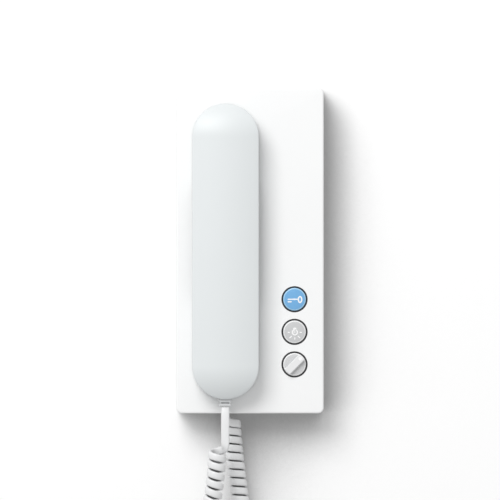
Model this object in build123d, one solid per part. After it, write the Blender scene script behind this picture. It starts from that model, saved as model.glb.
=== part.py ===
from build123d import *
import math
import os

os.makedirs("parts", exist_ok=True)

# Wall-mounted door intercom station with a corded handset, in millimetres.
# X points right, +Y points into the wall and +Z up.
# The origin is the centre of the back face, which lies on the wall, so the front faces -Y.

# Station as a whole
station_width = 91
station_height = 201
base_depth = 25
total_depth = 46
overrun = 1.0
same_place = 0.05

# Front cover
cover_corner_radius = 3.5
cover_edge_round = 1.0
cover_wall = 2.2
cover_wall_gap = 0.5
pocket_depth = 3.5
pocket_wall = 1.8
pocket_gap = 1.0
sound_slot_count = 5
sound_slot_width = 1.4
sound_slot_length = 12
sound_slot_pitch = 4.5

# Wall plate
plate_gap = 0.3
plate_floor = 2.0
plate_rim_wall = 1.6
plate_rim_height = 5
wall_hole_radius = 2.3
wall_hole_spacing_x = 60
wall_hole_margin = 16.5
wall_hole_centre_z = -4
wall_hole_boss_radius = 5.5
wall_hole_boss_height = 1.2
cable_entry_width = 32
cable_entry_height = 32
cable_entry_gap = 1.5
cable_entry_drop = 54.5
cable_entry_corner = 3
cable_rim_wall = 1.5
cable_rim_height = 2.5
rib_thickness = 1.2
rib_height = 2.5
latch_width = 10
latch_thickness = 1.5
latch_height = 9
latch_barb = 0.9
latch_barb_height = 2.4
latch_spacing = 56
latch_gap = 0.3

# Handset outline and crown
handset_width = 41
handset_end_margin = 9.5
handset_x = -15
handset_z = -0.6
crown_sag = 3.5
end_drop_share = 0.7
rim_round_share = 0.3
shell_wall = 2.0
parting_share = 0.45
grip_share = 0.31
block_gap = 1.0
grip_top_drop = 35.9
grip_bottom_rise = 44.1
grip_ramp = 9
grip_round = 8

# Ear and mouth cups on the handset's back
cup_gap = 0.4
cup_wall = 1.8
cup_edge_chamfer = 0.8
ear_cup_diameter = 34
mouth_cup_width = 32
mouth_cup_height = 30
mouth_cup_corner = 9
ear_hole_radius = 1.0
ear_ring_radii = (3.6, 7.2)
ear_ring_counts = (6, 12)
mouth_slot_count = 3
mouth_slot_width = 1.3
mouth_slot_length = 8
mouth_slot_pitch = 3.2

# Parts inside the handset
receiver_diameter = 30
receiver_depth = 8
receiver_step_diameter = 22
receiver_step_depth = 2
gasket_thickness = 1.0
gasket_bore = 24
microphone_diameter = 9.7
microphone_depth = 5
boot_diameter = 13
boot_depth = 7
boot_floor = 1.2
boot_port_radius = 1.5
ballast_width = 24
ballast_length = 40
ballast_share = 0.71
ballast_chamfer_share = 0.2
upper_screw_drop = 21.4
lower_screw_rise = 27.1
lower_screw_offset = 10.5
screw_shank_radius = 1.3
screw_head_radius = 2.5
screw_head_height = 1.8
screw_recess_gap = 0.5
screw_reach_share = 0.62
screw_gap = 0.05
screw_end_gap = 1.0
screw_slot_width = 0.7
screw_slot_depth = 0.8
screw_boss_wall = 1.8

# Modular plugs and their jacks
plug_x = -15.2
plug_width = 7.6
plug_thickness = 6.6
plug_length = 12.6
plug_chamfer = 0.5
plug_lip = 1.0
plug_waist = 1.5
plug_waist_notch = 0.9
plug_slot_width = 5.0
plug_slot_height = 0.9
plug_slot_depth = 1.5
plug_gap = 0.15
plug_hole_gap = 0.3
contact_width = 4.2
contact_length = 3.2
contact_depth = 1.0
jack_wall = 1.6
jack_width = 12
handset_plug_share = 0.38
handset_plug_showing = 4.0
base_plug_recess = 2.5
base_jack_setback = 0.3

# Keys, volume knob and their collars
key_inset = 18
key_pitch = 20.1
volume_foot = 30.2
collar_radius = 8.0
collar_wall = 0.65
collar_hole_gap = 0.1
collar_recess = 0.15
key_gap = 0.3
key_proud = 1.2
key_edge_round = 0.9
key_dome = 0.45
key_skin = 1.2
key_side_wall = 1.3
key_flange = 1.15
key_flange_thickness = 1.0
key_leg_radius = 2.0
key_travel = 1.2
frame_width = 22
frame_margin = 13
frame_corner = 3
frame_thickness = 1.5
frame_screw_radius = 1.1
frame_screw_head_radius = 2.2
frame_screw_head_height = 1.4
frame_screw_length = 2.9
grip_bar_width = 4.8
grip_bar_height = 2.4
grip_bar_end_gap = 0.3
grip_bar_angle = 45
grip_bar_chamfer = 0.5
knob_hub_radius = 4.6
knob_hub_gap = 0.6

# Circuit board and what it carries
board_side_gap = 3.3
board_foot = 20.5
board_sounder_gap = 11
board_thickness = 1.6
works_depth = 14
board_corner = 2
board_post_radius = 3.2
board_hole_radius = 1.5
board_screw_inset = 3.5
board_screw_radius = 1.2
board_screw_head_radius = 2.4
board_screw_head_height = 1.6
board_screw_share = 0.6
switch_size = 6.2
switch_height = 4
stem_radius = 1.6
stem_gap = 0.3
stem_inside = 1.2
stem_outside = 2.4
pot_size = 11
pot_height = 5
pot_corner = 1
pot_bore_depth = 3.5
shaft_radius = 3.0
shaft_gap = 0.05
shaft_end_gap = 0.4
shaft_flat = 0.8
hook_switch_width = 8
hook_switch_height = 14
hook_switch_depth = 6.5
hook_bore_depth = 4.5
terminal_place_share = 0.075
terminal_poles = 6
terminal_pitch = 5
terminal_depth = 8
terminal_height = 9
terminal_edge_gap = 3
terminal_screw_radius = 1.5
terminal_screw_height = 1.2
terminal_screw_sunk = 1.2
terminal_port = 2.8
sounder_side_gap = 2.3
sounder_drop = 55.5
sounder_diameter = 28
sounder_depth = 8
sounder_chamfer = 1
sounder_cone_diameter = 20
sounder_cone_depth = 1.5
sounder_dome_diameter = 9
sounder_dome_height = 1.0

# Hook plunger, which the resting handset holds in
plunger_rise = 27.6
plunger_width = 6
plunger_height = 7
plunger_round = 1.5
plunger_flange = 1.5
plunger_flange_thickness = 1.2
plunger_travel = 3.0
plunger_gap = 0.3
plunger_stem_radius = 1.5

# The handset lifts out from the wall and up at this angle
lift_angle = 30

# Curly cord and its straight tail
cord_diameter = 3.5
cord_sides = 6
coil_diameter = 11.4
coil_pitch = 5.3
coil_opening_share = 0.07
coil_samples_per_turn = 16
tail_width = 5.1
tail_thickness = 2.4
tail_round = 1.0
tail_length = 21.6
arc_share = 0.45

# The coil's axis, chosen by hand: from under the handset's plug, down round the loop and up to the base.
# Heights count from the station's bottom.
coil_route = [
    (-19.6, -36.2, -24.1),
    (-21.8, -29.5, -49.5),
    (-28.0, -24.0, -75.5),
    (-31.5, -20.5, -97.5),
    (-21.5, -17.5, -114.5),
    (-3.0, -15.5, -116.5),
    (9.5, -14.0, -102.5),
    (9.0, -12.5, -81.5),
    (0.5, -11.5, -59.5),
    (-6.8, -10.8, -37.5),
    (-10.4, -10.6, -19.5),
    (-11.2, -10.6, -5.0),
]

# Depths and heights that several pieces share
cover_front = -base_depth
cover_inside = cover_front + cover_wall
handset_depth = total_depth - base_depth
block_back = cover_front - block_gap
grip_back = cover_front - grip_share * handset_depth
parting_y = cover_front - parting_share * handset_depth
front_depth = total_depth + parting_y
end_drop = end_drop_share * front_depth
end_radius = ((handset_width / 2) ** 2 + end_drop**2) / (2 * end_drop)
ballast_thickness = ballast_share * (total_depth - crown_sag - 2 * shell_wall + grip_back)
pocket_floor = cover_front + pocket_depth
cup_face = pocket_floor - cup_gap
cup_inside = cup_face - cup_wall
board_front = cover_front + works_depth
board_back = board_front + board_thickness
board_screw_length = board_thickness + board_screw_share * (-plate_floor - board_back)
switch_front = board_front - switch_height
stem_front = switch_front - stem_outside
pot_front = board_front - pot_height
hook_switch_front = board_front - hook_switch_depth
frame_back = cover_inside + frame_thickness
flange_front = frame_back + key_gap
flange_back = flange_front + key_flange_thickness
key_front = cover_front - key_proud
key_inside = key_front + key_skin
key_radius = collar_radius - collar_wall - key_gap
dome_radius = (key_radius**2 + key_dome**2) / (2 * key_dome)
station_top = station_height / 2
station_bottom = -station_height / 2
key_x = station_width / 2 - key_inset
volume_z = station_bottom + volume_foot
light_key_z = volume_z + key_pitch
door_key_z = light_key_z + key_pitch
key_places = (door_key_z, light_key_z, volume_z)
handset_length = station_height - 2 * handset_end_margin
end_offset = (handset_length - handset_width) / 2
ear_z = handset_z + end_offset
mouth_z = handset_z - end_offset
handset_bottom = handset_z - handset_length / 2
handset_plug_y = cover_front - handset_plug_share * handset_depth
handset_plug_bottom = handset_bottom - handset_plug_showing
handset_plug_top = handset_plug_bottom + plug_length + plug_gap
base_jack_front = pocket_floor + pocket_wall + plate_gap
base_plug_y = base_jack_front + jack_wall + plug_thickness / 2
base_plug_bottom = station_bottom + base_plug_recess
grip_top_z = ear_z - grip_top_drop
grip_bottom_z = mouth_z + grip_bottom_rise
upper_screw_z = ear_z - upper_screw_drop
lower_screw_z = mouth_z + lower_screw_rise
plunger_z = mouth_z + plunger_rise
screw_seat = block_back - screw_head_height - screw_gap
screw_length = screw_reach_share * (total_depth - shell_wall + screw_seat)
screw_boss_radius = screw_shank_radius + screw_gap + screw_boss_wall
sounder_x = station_width / 2 - cover_wall - sounder_side_gap - sounder_diameter / 2
sounder_z = station_top - sounder_drop
cable_entry_x = sounder_x - (sounder_diameter + cable_entry_width) / 2 - cable_entry_gap - cable_rim_wall
cable_entry_z = station_top - cable_entry_drop
wall_hole_spacing_z = station_height - 2 * wall_hole_margin
board_width = station_width - 2 * (cover_wall + board_side_gap)
board_bottom_z = station_bottom + board_foot
board_top_z = sounder_z - sounder_diameter / 2 - board_sounder_gap
terminal_x = -terminal_place_share * board_width
terminal_top = board_top_z - terminal_edge_gap
terminal_middle = terminal_top - terminal_height / 2
terminal_front = board_front - terminal_depth
terminal_seat = terminal_front + terminal_screw_sunk + terminal_screw_height
lift_rise = math.tan(math.radians(lift_angle)) * pocket_depth


def facing(depth):
    """A plane square to Y at that depth, seen from the front: what is extruded runs to -Y."""
    return Plane(origin=(0, depth, 0), x_dir=(1, 0, 0), z_dir=(0, -1, 0))


def from_side(x):
    """A plane square to X: its own x is Y and its own y is Z."""
    return Plane(origin=(x, 0, 0), x_dir=(0, 1, 0), z_dir=(1, 0, 0))


def between(low, high):
    """A block between two corners."""
    size = [b - a for a, b in zip(low, high)]
    middle = [(a + b) / 2 for a, b in zip(low, high)]
    return Pos(*middle) * Box(*size)


def along_y(x, z, back, front, shape):
    """A flat shape, drawn as seen from the front, run along Y from its back to its front."""
    return extrude(facing(back) * Pos(x, z) * shape, amount=back - front)


def rod(x, z, back, front, radius):
    return along_y(x, z, back, front, Circle(radius))


def front_face(solid):
    return solid.faces().sort_by(Axis.Y)[0]


def pan_screws(places, seat, shank, head, length, towards):
    """Slotted screws whose heads sit on one depth; towards is -1 for shanks that run forwards."""
    group = []
    for x, z in places:
        radius, height = head
        top = seat - towards * height
        tip = seat + towards * length
        screw = rod(x, z, max(seat, top), min(seat, top), radius)
        screw += rod(x, z, max(seat, tip), min(seat, tip), shank)
        slot_end = top + towards * screw_slot_depth
        low = (x - radius, min(top, slot_end), z - screw_slot_width / 2)
        high = (x + radius, max(top, slot_end), z + screw_slot_width / 2)
        group.append(screw - between(low, high))
    return Compound(children=group)


# Wall plate


def wall_hole_places():
    across, up = wall_hole_spacing_x / 2, wall_hole_spacing_z / 2
    return [(x, wall_hole_centre_z + z) for x in (-across, across) for z in (-up, up)]


def board_screw_places():
    across = board_width / 2 - board_screw_inset
    heights = (board_bottom_z + board_screw_inset, board_top_z - board_screw_inset)
    return [(x, z) for x in (-across, across) for z in heights]


def latch_places():
    """Where the plate's latches stand: x, and 1 for the top edge or -1 for the bottom edge."""
    return [(x, side) for x in (-latch_spacing / 2, latch_spacing / 2) for side in (1, -1)]


def latch(x, edge, side):
    """A springy tab on the plate's edge, with a barb that snaps into the cover's wall."""
    tip = -plate_floor - latch_height
    inner = edge - side * latch_thickness
    half = latch_width / 2
    tab = between((x - half, tip, min(edge, inner)), (x + half, 0, max(edge, inner)))
    shoulder = tip + latch_barb_height
    root = edge - side * latch_thickness / 2
    barb = Polyline((tip, edge), (shoulder, edge + side * latch_barb), (shoulder, root), close=True)
    return tab + extrude(from_side(x - half) * make_face(barb), amount=latch_width)


def jack_room(grow):
    """The block of space that the base's cord jack stands in, grown all round."""
    half = jack_width / 2 + grow
    front = base_jack_front - grow
    top = base_plug_bottom + plug_length + jack_wall + grow
    return between((plug_x - half, front, station_bottom - overrun), (plug_x + half, -plate_floor, top))


def wall_plate():
    """The tray that is screwed to the wall: rim, ribs, board posts, cable entry and cover latches."""
    width = station_width - 2 * (cover_wall + plate_gap)
    height = station_height - 2 * (cover_wall + plate_gap)
    corner = cover_corner_radius - cover_wall / 2
    floor_front = -plate_floor
    plate = along_y(0, 0, 0, floor_front - plate_rim_height, RectangleRounded(width, height, corner))
    room = RectangleRounded(width - 2 * plate_rim_wall, height - 2 * plate_rim_wall, corner / 2)
    plate -= along_y(0, 0, floor_front, -base_depth, room)
    half = (width - plate_rim_wall) / 2
    for z in (board_bottom_z - 2 * rib_thickness, board_top_z + rib_thickness):
        plate += between((-half, floor_front - rib_height, z), (half, 0, z + rib_thickness))
    for x, z in wall_hole_places():
        plate += rod(x, z, 0, floor_front - wall_hole_boss_height, wall_hole_boss_radius)
    for x, z in board_screw_places():
        plate += rod(x, z, 0, board_back, board_post_radius)
    for x, side in latch_places():
        plate += latch(x, side * height / 2, side)
    entry = RectangleRounded(cable_entry_width, cable_entry_height, cable_entry_corner)
    collar = offset(entry, amount=cable_rim_wall)
    plate += along_y(cable_entry_x, cable_entry_z, 0, floor_front - cable_rim_height, collar)
    plate -= along_y(cable_entry_x, cable_entry_z, overrun, -base_depth, entry)
    for x, z in wall_hole_places():
        plate -= rod(x, z, overrun, -base_depth, wall_hole_radius)
    for x, z in board_screw_places():
        plate -= rod(x, z, floor_front, -base_depth, board_screw_radius + screw_gap)
    return plate - jack_room(plate_gap)


# Front cover


def ear_outline(grow, rise):
    radius = ear_cup_diameter / 2 + grow
    if rise == 0:
        return Circle(radius)
    return Pos(0, rise / 2) * Rot(0, 0, 90) * SlotOverall(2 * radius + rise, 2 * radius)


def mouth_outline(grow, rise):
    width, height = mouth_cup_width + 2 * grow, mouth_cup_height + 2 * grow + rise
    return Pos(0, rise / 2) * RectangleRounded(width, height, mouth_cup_corner + grow)


cups = ((ear_z, ear_outline), (mouth_z, mouth_outline))


def frame_screw_places():
    middle = (door_key_z + volume_z) / 2
    reach = (door_key_z - volume_z) / 2 + frame_margin
    return [(key_x, middle - reach), (key_x, middle + reach)]


def front_cover():
    """The white box over the works, with a pocket for each handset cup and holes for the keys."""
    outline = RectangleRounded(station_width, station_height, cover_corner_radius)
    cover = along_y(0, 0, -cover_wall_gap, cover_front, outline)
    cover = fillet(front_face(cover).edges(), cover_edge_round)
    width, height = station_width - 2 * cover_wall, station_height - 2 * cover_wall
    room = RectangleRounded(width, height, cover_corner_radius - cover_wall / 2)
    cover -= along_y(0, 0, overrun, cover_inside, room)
    for z, cup_outline in cups:
        tub = cup_outline(pocket_gap + pocket_wall, lift_rise)
        cover += along_y(handset_x, z, pocket_floor + pocket_wall, cover_inside - cover_wall / 2, tub)
    for z, cup_outline in cups:
        pocket = cup_outline(pocket_gap, lift_rise)
        cover -= along_y(handset_x, z, pocket_floor, cover_front - overrun, pocket)
    for z in key_places:
        cover -= rod(key_x, z, 0, cover_front - overrun, collar_radius + collar_hole_gap)
    for x, z in frame_screw_places():
        tip = cover_inside - (frame_screw_length - frame_thickness) - screw_gap
        cover -= rod(x, z, 0, tip, frame_screw_radius + screw_gap)
    slot = Rectangle(plunger_width + 2 * plunger_gap, plunger_height + 2 * plunger_gap)
    cover -= along_y(handset_x, plunger_z, 0, cover_front - overrun, slot)
    cover -= jack_room(plate_gap) + jack_room(plate_gap).moved(Pos(0, plate_floor, 0))
    for x, side in latch_places():
        cover -= latch_recess(x, side)
    return cover - sound_slots()


def latch_recess(x, side):
    """The notch inside the cover's wall that takes one barb, with its clearance all round."""
    half = latch_width / 2 + latch_gap
    tip = -plate_floor - latch_height
    wall = side * (station_height / 2 - cover_wall)
    deep = wall + side * (latch_barb + latch_gap - plate_gap)
    back = tip + latch_barb_height + latch_gap
    return between((x - half, tip - latch_gap, min(wall, deep)), (x + half, back, max(wall, deep)))


def sound_slots():
    """A column of slots through the cover's right wall, level with the call sounder."""
    slots = []
    side = from_side(station_width / 2 - cover_wall - overrun)
    for place in range(sound_slot_count):
        z = sounder_z + (place - (sound_slot_count - 1) / 2) * sound_slot_pitch
        slot = side * Pos(-base_depth / 2, z) * SlotOverall(sound_slot_length, sound_slot_width)
        slots.append(extrude(slot, amount=cover_wall + 2 * overrun))
    return slots


# Keys, knob and their collars


def key_frame():
    """The dark collars round the keys and the knob, on one strip behind the cover."""
    middle = (door_key_z + volume_z) / 2
    length = door_key_z - volume_z + 2 * (frame_margin + frame_screw_head_radius + frame_corner / 2)
    strip = RectangleRounded(frame_width, length, frame_corner)
    frame = along_y(key_x, middle, frame_back, cover_inside, strip)
    for z in key_places:
        frame += rod(key_x, z, frame_back, cover_front + collar_recess, collar_radius)
    for z in key_places:
        frame -= rod(key_x, z, 0, cover_front - overrun, collar_radius - collar_wall)
    for x, z in frame_screw_places():
        frame -= rod(x, z, 0, cover_front - overrun, frame_screw_radius + screw_gap)
    return frame


def cap(z):
    """A round cap in its collar: domed face, hollow back and a flange that keeps it behind the frame."""
    hollow = key_radius - key_side_wall
    edge = key_radius + key_flange
    half = make_face(Polyline(
        (0, key_front), (key_radius, key_front), (key_radius, flange_front), (edge, flange_front),
        (edge, flange_back), (hollow, flange_back), (hollow, key_inside), (0, key_inside), close=True,
    ))
    half &= Pos(0, key_front + dome_radius) * Circle(dome_radius)
    corner = [v for v in half.vertices() if v.Y < key_inside and abs(v.X - key_radius) < same_place]
    half = fillet(corner, key_edge_round)
    return revolve(Pos(key_x, 0, z) * half, Axis((key_x, 0, z), (0, 1, 0)))


def push_key(z):
    return cap(z) + rod(key_x, z, stem_front, key_inside - key_skin / 2, key_leg_radius)


def switch_stem(z):
    return rod(key_x, z, switch_front + stem_inside, stem_front, stem_radius)


def key_switch(z):
    """A push switch on the board, bored for its stem's whole travel."""
    body = along_y(key_x, z, board_front, switch_front, Rectangle(switch_size, switch_size))
    bottom = switch_front + stem_inside + key_travel + stem_gap
    return body - rod(key_x, z, bottom, switch_front - overrun, stem_radius + stem_gap)


def shaft_form(back, front, grow):
    """The control shaft's round section with its flat, grown all round."""
    shaft = rod(key_x, volume_z, back, front, shaft_radius + grow)
    flat_z = volume_z + shaft_radius - shaft_flat + grow
    low = (key_x - 2 * shaft_radius, front - overrun, flat_z)
    high = (key_x + 2 * shaft_radius, back + overrun, flat_z + shaft_radius)
    return shaft - between(low, high)


def volume_knob():
    """The round knob: a grip bar stands across its face, and a hub behind it takes the shaft."""
    knob = cap(volume_z)
    bar = Rot(0, 0, grip_bar_angle) * Rectangle(2 * key_radius, grip_bar_width)
    bar &= Circle(key_radius - grip_bar_end_gap)
    grip = along_y(key_x, volume_z, key_inside, key_front - grip_bar_height, bar)
    knob += chamfer(front_face(grip).edges(), grip_bar_chamfer)
    hub_back = pot_front - knob_hub_gap
    knob += rod(key_x, volume_z, hub_back, key_inside - key_skin / 2, knob_hub_radius)
    return knob - shaft_form(hub_back + overrun, key_inside, shaft_gap)


def volume_shaft():
    shoulder = pot_front - knob_hub_gap
    shaft = rod(key_x, volume_z, pot_front + pot_bore_depth - shaft_end_gap, shoulder, shaft_radius)
    return shaft + shaft_form(shoulder, key_inside + shaft_end_gap, 0)


def volume_potentiometer():
    shape = RectangleRounded(pot_size, pot_size, pot_corner)
    body = along_y(key_x, volume_z, board_front, pot_front, shape)
    bottom = pot_front + pot_bore_depth
    return body - rod(key_x, volume_z, bottom, pot_front - overrun, shaft_radius + shaft_gap)


# Works behind the cover


def circuit_board():
    middle = (board_bottom_z + board_top_z) / 2
    shape = RectangleRounded(board_width, board_top_z - board_bottom_z, board_corner)
    board = along_y(0, middle, board_back, board_front, shape)
    for x, z in board_screw_places():
        board -= rod(x, z, 0, -base_depth, board_hole_radius)
    return board


def hook_switch():
    shape = Rectangle(hook_switch_width, hook_switch_height)
    body = along_y(handset_x, plunger_z, board_front, hook_switch_front, shape)
    bottom = hook_switch_front + hook_bore_depth
    bore = plunger_stem_radius + plunger_gap
    return body - rod(handset_x, plunger_z, bottom, hook_switch_front - overrun, bore)


def hook_plunger():
    """Rounded nose through the cover, a flange behind it and a stem in the hook switch."""
    nose = block_back + plunger_gap
    stop = cover_inside + plunger_travel + plunger_gap
    bar = along_y(handset_x, plunger_z, stop, nose, Rectangle(plunger_width, plunger_height))
    bar = fillet(front_face(bar).edges().filter_by(Axis.X), plunger_round)
    flange = Rectangle(plunger_width + 2 * plunger_flange, plunger_height + 2 * plunger_flange)
    bar += along_y(handset_x, plunger_z, stop + plunger_flange_thickness, stop, flange)
    tail = hook_switch_front + hook_bore_depth - plunger_gap
    return bar + rod(handset_x, plunger_z, tail, stop, plunger_stem_radius)


def terminal_places():
    first = terminal_x - (terminal_poles - 1) / 2 * terminal_pitch
    return [first + place * terminal_pitch for place in range(terminal_poles)]


def terminal_block():
    """The row of screw terminals that the door line's wires enter from above."""
    half = terminal_poles * terminal_pitch / 2
    low = (terminal_x - half, terminal_front, terminal_top - terminal_height)
    block = between(low, (terminal_x + half, board_front, terminal_top))
    port_y = (board_front + terminal_seat) / 2
    port = terminal_port / 2
    for x in terminal_places():
        hole = terminal_screw_radius + screw_gap
        block -= rod(x, terminal_middle, terminal_seat, terminal_front - overrun, hole)
        high = (x + port, port_y + port, terminal_top + overrun)
        block -= between((x - port, port_y - port, terminal_middle), high)
    return block


def terminal_screws():
    group = []
    front = terminal_seat - terminal_screw_height
    for x in terminal_places():
        head = rod(x, terminal_middle, terminal_seat, front, terminal_screw_radius)
        half = screw_slot_width / 2
        low = (x - terminal_screw_radius, front, terminal_middle - half)
        high = (x + terminal_screw_radius, front + screw_slot_width, terminal_middle + half)
        group.append(head - between(low, high))
    return Compound(children=group)


def call_sounder():
    """The small loudspeaker that rings, seated on the wall plate: can, sunk cone and dome."""
    front = -plate_floor - sounder_depth
    can = rod(sounder_x, sounder_z, -plate_floor, front, sounder_diameter / 2)
    can = chamfer(front_face(can).edges(), sounder_chamfer)
    floor = front + sounder_cone_depth
    can -= rod(sounder_x, sounder_z, floor, front - overrun, sounder_cone_diameter / 2)
    return can + rod(sounder_x, sounder_z, floor, floor - sounder_dome_height, sounder_dome_diameter / 2)


def board_screws():
    head = (board_screw_head_radius, board_screw_head_height)
    return pan_screws(board_screw_places(), board_front, board_screw_radius, head, board_screw_length, 1)


def frame_screws():
    head = (frame_screw_head_radius, frame_screw_head_height)
    return pan_screws(frame_screw_places(), frame_back, frame_screw_radius, head, frame_screw_length, -1)


# Plugs and jacks


def plug(y, bottom):
    """A modular plug: waist and slot over the cord at the bottom, contacts' comb at the top."""
    half, reach = plug_width / 2, plug_thickness / 2
    body = between((plug_x - half, y - reach, bottom), (plug_x + half, y + reach, bottom + plug_length))
    body = chamfer(body.edges().filter_by(Axis.Z), plug_chamfer)
    low = (plug_x - contact_width / 2, y - reach - overrun, bottom + plug_length - contact_length)
    high = (plug_x + contact_width / 2, y - reach + contact_depth, bottom + plug_length + overrun)
    body -= between(low, high)
    waist = bottom + plug_lip
    for side in (-1, 1):
        edge, floor = plug_x + side * (half + overrun), plug_x + side * (half - plug_waist_notch)
        low = (min(edge, floor), y - reach - overrun, waist)
        body -= between(low, (max(edge, floor), y + reach + overrun, waist + plug_waist))
    middle = waist + plug_waist / 2
    low = (plug_x - plug_slot_width / 2, y - reach - overrun, middle - plug_slot_height / 2)
    high = (plug_x + plug_slot_width / 2, y - reach + plug_slot_depth, middle + plug_slot_height / 2)
    return body - between(low, high)


def plug_socket(y, bottom, top, gap):
    half, reach = plug_width / 2 + gap, plug_thickness / 2 + gap
    return between((plug_x - half, y - reach, bottom), (plug_x + half, y + reach, top))


def cord_jack():
    """The base's jack, standing on the wall plate with its mouth down."""
    bottom = station_bottom + base_jack_setback
    top = base_plug_bottom + plug_length + plug_gap
    half = jack_width / 2
    high = (plug_x + half, -plate_floor, top + jack_wall)
    block = between((plug_x - half, base_jack_front, bottom), high)
    return block - plug_socket(base_plug_y, bottom - overrun, top, plug_gap)


def handset_jack():
    """The handset's jack, standing on the back half inside the rounded lower end."""
    front = handset_plug_y - plug_thickness / 2 - jack_wall
    half = jack_width / 2
    inner = handset_width / 2 - shell_wall
    bottom = mouth_z - math.sqrt(inner**2 - (half + abs(plug_x - handset_x)) ** 2) + plug_hole_gap
    left, right = plug_x - half, plug_x + half
    top = handset_plug_top + jack_wall
    block = between((left, front, bottom), (right, parting_y, top))
    block &= handset_form(shell_wall + plug_gap)
    block += between((left, parting_y, bottom), (right, block_back - shell_wall, top))
    return block - plug_socket(handset_plug_y, bottom - overrun, handset_plug_top, plug_gap)


# Handset


def stadium(inset):
    """The handset's outline with full round ends, drawn in by the inset."""
    return Rot(0, 0, 90) * SlotOverall(handset_length - 2 * inset, handset_width - 2 * inset)


def on_rim(edge, inset):
    """True for an edge that runs round the stadium in front of the parting line."""
    point = edge.position_at(1 / 2)
    across = abs(point.X - handset_x)
    beyond = max(abs(point.Z - handset_z) - end_offset, 0)
    near = abs(math.hypot(across, beyond) - (handset_width / 2 - inset)) < same_place
    size = edge.bounding_box().size
    return near and point.Y < parting_y - same_place and size.Y < max(size.X, size.Z)


def handset_form(inset):
    """The solid front of the handset, every face drawn in by the inset.

    A crowned section runs straight along the grip and turns about an axis across each end,
    so the ends fall back to the wall with no crease, and the stadium outline trims it."""
    half = handset_width / 2 + overrun
    radius = ((handset_width / 2) ** 2 + crown_sag**2) / (2 * crown_sag) - inset
    crest = -total_depth + inset
    turn_y = -total_depth + end_radius
    edge = crest + radius - math.sqrt(radius**2 - half**2)
    line = Polyline((-half, edge), (-half, turn_y), (half, turn_y), (half, edge))
    section = make_face(line + ThreePointArc((-half, edge), (0, crest), (half, edge)))
    low = Pos(handset_x, 0, mouth_z) * section
    high = Pos(handset_x, 0, ear_z) * section
    body = extrude(low, amount=2 * end_offset)
    body += revolve(low, Axis((handset_x, turn_y, mouth_z), (1, 0, 0)), 90)
    body += revolve(high, Axis((handset_x, turn_y, ear_z), (-1, 0, 0)), 90)
    body &= along_y(handset_x, handset_z, parting_y, crest - overrun, stadium(inset))
    rim = [e for e in body.edges() if on_rim(e, inset)]
    return fillet(rim, rim_round_share * (front_depth - end_drop - inset))


def handset_screw_places():
    left, right = handset_x - lower_screw_offset, handset_x + lower_screw_offset
    return [(handset_x, upper_screw_z), (left, lower_screw_z), (right, lower_screw_z)]


def handset_shell():
    """The crowned front half of the handset: an even wall, with bosses inside for its screws."""
    shell = handset_form(0) - handset_form(shell_wall)
    core = handset_form(shell_wall / 2)
    for x, z in handset_screw_places():
        shell += rod(x, z, parting_y, -total_depth, screw_boss_radius) & core
    for x, z in handset_screw_places():
        shell -= rod(x, z, 0, screw_seat - screw_length - screw_end_gap, screw_shank_radius + screw_gap)
    return shell - plug_socket(handset_plug_y, handset_bottom - overrun, handset_plug_top, plug_hole_gap)


def grip_arch(grow):
    """The arched room for fingers under the grip, right across the handset and grown all round."""
    foot = grip_bottom_z - grip_ramp
    head = grip_top_z + grip_ramp
    points = [
        (0, foot),
        (block_back, foot),
        (grip_back, grip_bottom_z + grip_ramp),
        (grip_back, grip_top_z - grip_ramp),
        (block_back, head),
        (0, head),
    ]
    side = make_face(Polyline(*points, close=True))
    crown = [v for v in side.vertices() if abs(v.X - grip_back) < same_place]
    side = fillet(crown, grip_round)
    if grow:
        side = offset(side, amount=grow)
    return extrude(from_side(handset_x - handset_width) * side, amount=2 * handset_width)


def handset_back():
    """The back half: stadium walls, arched grip and the ear and mouth cups with their sound openings."""
    back = along_y(handset_x, handset_z, block_back, parting_y, stadium(0)) - grip_arch(0)
    inside = block_back - shell_wall
    hollow = along_y(handset_x, handset_z, inside, parting_y - overrun, stadium(shell_wall))
    back -= hollow - grip_arch(shell_wall)
    for z, cup_outline in cups:
        cup = along_y(handset_x, z, cup_face, inside, cup_outline(0, 0))
        back += chamfer(cup.faces().sort_by(Axis.Y)[-1].edges(), cup_edge_chamfer)
    rooms = along_y(handset_x, handset_z, 0, parting_y - overrun, stadium(shell_wall))
    for z, cup_outline in cups:
        back -= along_y(handset_x, z, cup_inside, inside, cup_outline(-cup_wall, 0)) & rooms
    for x, z in sound_hole_places():
        back -= rod(x, z, 0, cup_inside - overrun, ear_hole_radius)
    for place in range(mouth_slot_count):
        z = mouth_z + (place - (mouth_slot_count - 1) / 2) * mouth_slot_pitch
        slot = SlotOverall(mouth_slot_length, mouth_slot_width)
        back -= along_y(handset_x, z, 0, cup_inside - overrun, slot)
    for x, z in handset_screw_places():
        recess = screw_head_radius + screw_recess_gap
        back += rod(x, z, block_back, parting_y, recess + screw_boss_wall / 2)
        back -= rod(x, z, 0, screw_seat, recess)
        back -= rod(x, z, 0, -total_depth, screw_shank_radius + screw_gap)
    return back - plug_socket(handset_plug_y, handset_bottom - overrun, handset_plug_top, plug_hole_gap)


def sound_hole_places():
    places = [(handset_x, ear_z)]
    for radius, count in zip(ear_ring_radii, ear_ring_counts):
        for place in range(count):
            turn = 2 * math.pi * place / count
            places.append((handset_x + radius * math.cos(turn), ear_z + radius * math.sin(turn)))
    return places


def receiver_gasket():
    front = cup_inside - gasket_thickness
    ring = rod(handset_x, ear_z, cup_inside, front, receiver_diameter / 2)
    return ring - rod(handset_x, ear_z, 0, front - overrun, gasket_bore / 2)


def receiver_capsule():
    back = cup_inside - gasket_thickness
    step = back - receiver_depth
    body = rod(handset_x, ear_z, back, step, receiver_diameter / 2)
    return body + rod(handset_x, ear_z, step, step - receiver_step_depth, receiver_step_diameter / 2)


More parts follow.
